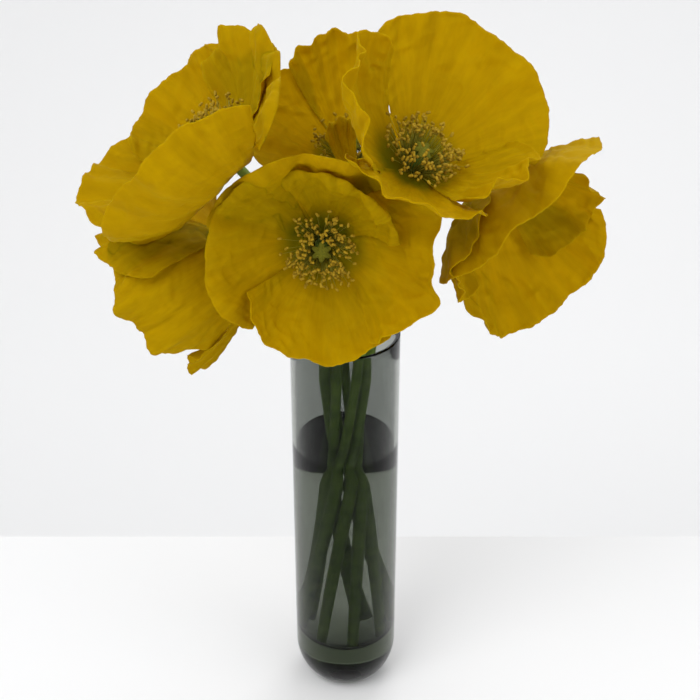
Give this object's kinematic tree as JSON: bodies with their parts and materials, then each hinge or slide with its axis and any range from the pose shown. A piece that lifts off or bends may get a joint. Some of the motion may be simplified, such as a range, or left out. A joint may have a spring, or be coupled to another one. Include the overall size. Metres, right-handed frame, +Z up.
{
  "type": "poppy in vase",
  "caption": "Bunch of yellow Iceland poppies, open and nodding, standing in water in a tall smoke glass cylinder vase with a rounded heel.",
  "frame": {"origin": "centre of the flat that the vase stands on", "axes": "+Z up along the vase's axis, -Y towards whoever looks at the front bloom"},
  "size_m": [0.2329, 0.158, 0.3446],
  "materials": {
    "vase_glass": "clear smoke grey glass, polished",
    "water": "still clear water",
    "stem": "dull green, finely hairy",
    "petal": "thin crinkled yellow petal, silky",
    "stamen": "dusty golden anthers on pale filaments",
    "pistil": "matt green, velvety rays"
  },
  "bodies": {
    "root": {"vase": "vase_glass", "water": "water", "stem_front": "stem", "petals_front": "petal", "stamens_front": "stamen", "pistil_front": "pistil", "stem_right": "stem", "petals_right": "petal", "stamens_right": "stamen", "pistil_right": "pistil", "stem_low_right": "stem", "petals_low_right": "petal", "stamens_low_right": "stamen", "pistil_low_right": "pistil", "stem_left": "stem", "petals_left": "petal", "stamens_left": "stamen", "pistil_left": "pistil", "stem_low_left": "stem", "petals_low_left": "petal", "stamens_low_left": "stamen", "pistil_low_left": "pistil", "stem_back": "stem", "petals_back": "petal", "stamens_back": "stamen", "pistil_back": "pistil", "stem_middle": "stem", "petals_middle": "petal", "stamens_middle": "stamen", "pistil_middle": "pistil"}
  },
  "joints": []
}
